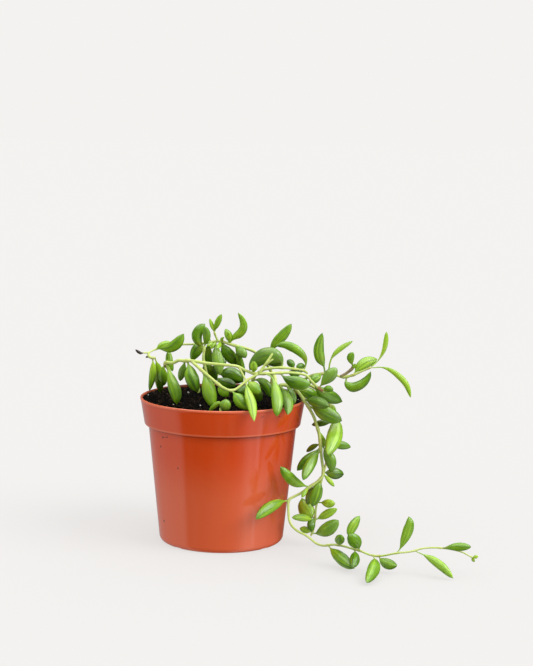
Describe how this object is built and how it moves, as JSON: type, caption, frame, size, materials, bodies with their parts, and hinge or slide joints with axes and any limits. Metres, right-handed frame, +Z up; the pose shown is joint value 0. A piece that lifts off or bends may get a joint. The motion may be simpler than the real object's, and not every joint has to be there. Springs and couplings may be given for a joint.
{
  "type": "potted string of bananas plant",
  "caption": "Trailing succulent with banana-shaped leaves in a round collared nursery pot, its long runner trailing over the rim and along the surface.",
  "frame": {"origin": "centre of the pot's underside, on the surface it stands on", "axes": "+Z up along the pot's axis, +X to the side the long runner trails to, -Y to the front"},
  "size_m": [0.2085, 0.1831, 0.1459],
  "materials": {
    "terracotta_plastic": "semi-gloss moulded plastic in terracotta orange, slightly dusty",
    "potting_soil": "dark moist peat with a few white grains",
    "green_leaf": "waxy green succulent skin, paler at stems and young tips"
  },
  "bodies": {
    "root": {"pot": "terracotta_plastic", "potting_soil": "potting_soil", "runner_front": "green_leaf", "runner_rear": "green_leaf", "shoot_left": "green_leaf", "shoot_front": "green_leaf", "shoot_crown": "green_leaf", "sprig_right": "green_leaf", "trail_front": "green_leaf", "trail_rear": "green_leaf", "stem_rear_left": "green_leaf", "stem_rear_middle": "green_leaf", "stem_rear_right": "green_leaf"}
  },
  "joints": []
}
